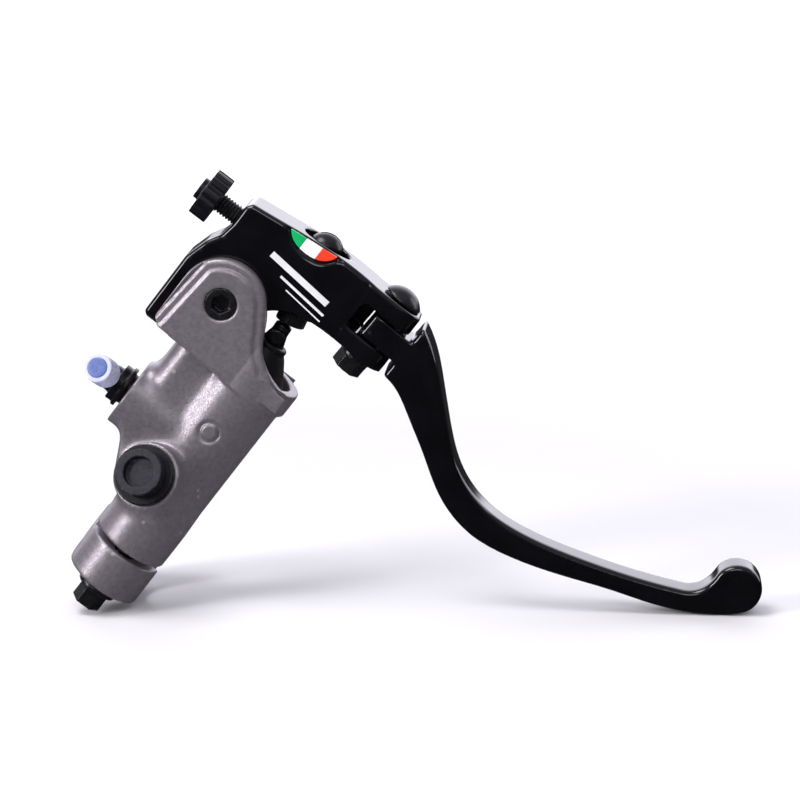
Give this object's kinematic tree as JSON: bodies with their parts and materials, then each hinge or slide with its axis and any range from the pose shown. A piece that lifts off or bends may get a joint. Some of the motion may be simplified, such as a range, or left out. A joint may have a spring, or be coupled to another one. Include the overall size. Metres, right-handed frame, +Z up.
{
  "type": "brake master cylinder",
  "caption": "Radial brake master cylinder with split handlebar clamp, rocker and ratio selector, reach adjuster knob and a folding curved lever, capped for transit.",
  "frame": {"origin": "centre of the handlebar clamp's bore, at mid thickness", "axes": "+Z up with the part resting on its clamp cap and lever tip; +X towards the lever tip; -Y towards the face that is on top when mounted; the handlebar axis lies in the XZ plane, 37.3 degrees below +X"},
  "size_m": [0.2037, 0.05, 0.1287],
  "materials": {
    "cast_body": "hard anodised, fine bead-blasted grain",
    "black_anodised": "deep gloss black anodised",
    "black_steel": "satin black oxide",
    "black_plastic": "moulded satin black",
    "rubber": "smooth black rubber",
    "plug_plastic": "dark smoky translucent moulding",
    "cap_plastic": "translucent soft polyethylene",
    "badge_green": "domed enamel",
    "badge_white": "domed enamel",
    "badge_red": "domed enamel",
    "bright_steel": "bright machined",
    "bush_bronze": "sintered bronze"
  },
  "bodies": {
    "cylinder": {"master_body": "cast_body", "clamp_cap": "cast_body", "clamp_bolts": "black_steel", "pivot_bolt": "black_steel", "pivot_nut": "black_steel", "stop_washer": "bright_steel", "circlip": "bright_steel", "dust_boot": "rubber", "return_spring": "bright_steel"},
    "rocker": {"rocker": "black_anodised", "rocker_bush": "bush_bronze"},
    "lever_base": {"lever_base": "black_anodised", "base_bushes": "bush_bronze", "badge_band_left": "badge_green", "badge_band_middle": "badge_white", "badge_band_right": "badge_red", "fold_bolt": "black_steel", "fold_nut": "black_steel", "detent_pin": "bright_steel"},
    "lever_blade": {"lever_blade": "black_anodised", "fold_bush": "bush_bronze"},
    "reach_screw": {"reach_screw": "black_steel"},
    "knob": {"adjuster_knob": "black_plastic"},
    "selector": {"ratio_selector": "black_steel"},
    "pushrod": {"pushrod": "black_steel"},
    "piston": {"piston": "bright_steel", "primary_cup": "rubber", "secondary_seal": "rubber"},
    "elbow": {"reservoir_elbow": "black_plastic", "elbow_o_ring": "rubber"},
    "nipple_cap": {"nipple_cap": "cap_plastic"},
    "outlet_plug": {"outlet_plug": "plug_plastic", "outlet_plug_flange": "rubber"}
  },
  "joints": [
    {"name": "lever_squeeze", "type": "hinge", "parent": "cylinder", "child": "rocker", "pos_m": [0.02851, 0, 0.07257], "axis": [0, 1, 0], "range_deg": [0, 20], "stiffness_Nm_per_rad": 1.6, "springref_deg": -12.61},
    {"name": "piston_slide", "type": "slide", "parent": "cylinder", "child": "piston", "axis": [-0.606, 0, -0.7955], "range_m": [0, 0.0064], "deforming": ["return_spring", "dust_boot"]},
    {"name": "pushrod_tilt", "type": "hinge", "parent": "rocker", "child": "pushrod", "pos_m": [0.0433, 0, 0.0613], "axis": [0, 1, 0], "range_deg": [-22.6, 0]},
    {"name": "reach_adjust", "type": "hinge", "parent": "rocker", "child": "lever_base", "pos_m": [0.02851, 0, 0.07257], "axis": [0, 1, 0], "range_deg": [-4.2, 4.2]},
    {"name": "reach_screw_slide", "type": "slide", "parent": "lever_base", "child": "reach_screw", "axis": [0.7955, 0, -0.606], "range_m": [-0.00153, 0.00153]},
    {"name": "knob_turn", "type": "hinge", "parent": "reach_screw", "child": "knob", "pos_m": [0.0252, 0, 0.10123], "axis": [0.7955, 0, -0.606], "range_deg": [-550, 550]},
    {"name": "ratio_select", "type": "hinge", "parent": "rocker", "child": "selector", "pos_m": [0.05796, 0, 0.08797], "axis": [0.4352, 0, 0.9003], "range_deg": [0, 180]},
    {"name": "lever_fold", "type": "hinge", "parent": "lever_base", "child": "lever_blade", "pos_m": [0.07312, 0, 0.06397], "axis": [-0.6468, 0, -0.7627], "range_deg": [0, 80], "stiffness_Nm_per_rad": 0.25, "springref_deg": -8.59},
    {"name": "elbow_swivel", "type": "hinge", "parent": "cylinder", "child": "elbow", "pos_m": [-0.00558, 0, 0.04762], "axis": [-0.7955, 0, 0.606], "range_deg": [-35, 35]},
    {"name": "nipple_cap_pull", "type": "slide", "parent": "elbow", "child": "nipple_cap", "axis": [-0.1313, -0.9064, 0.4015], "range_m": [0, 0.012]},
    {"name": "outlet_plug_pull", "type": "slide", "parent": "cylinder", "child": "outlet_plug", "axis": [-0.1313, -0.9064, 0.4015], "range_m": [0, 0.022]}
  ],
  "couplings": [
    {"joint": "piston_slide", "follows": "lever_squeeze", "m_per_rad": 0.0178},
    {"joint": "pushrod_tilt", "follows": "lever_squeeze", "ratio": -1.125},
    {"joint": "knob_turn", "follows": "reach_adjust", "ratio": -130.69},
    {"joint": "reach_screw_slide", "follows": "reach_adjust", "m_per_rad": -0.0208}
  ]
}
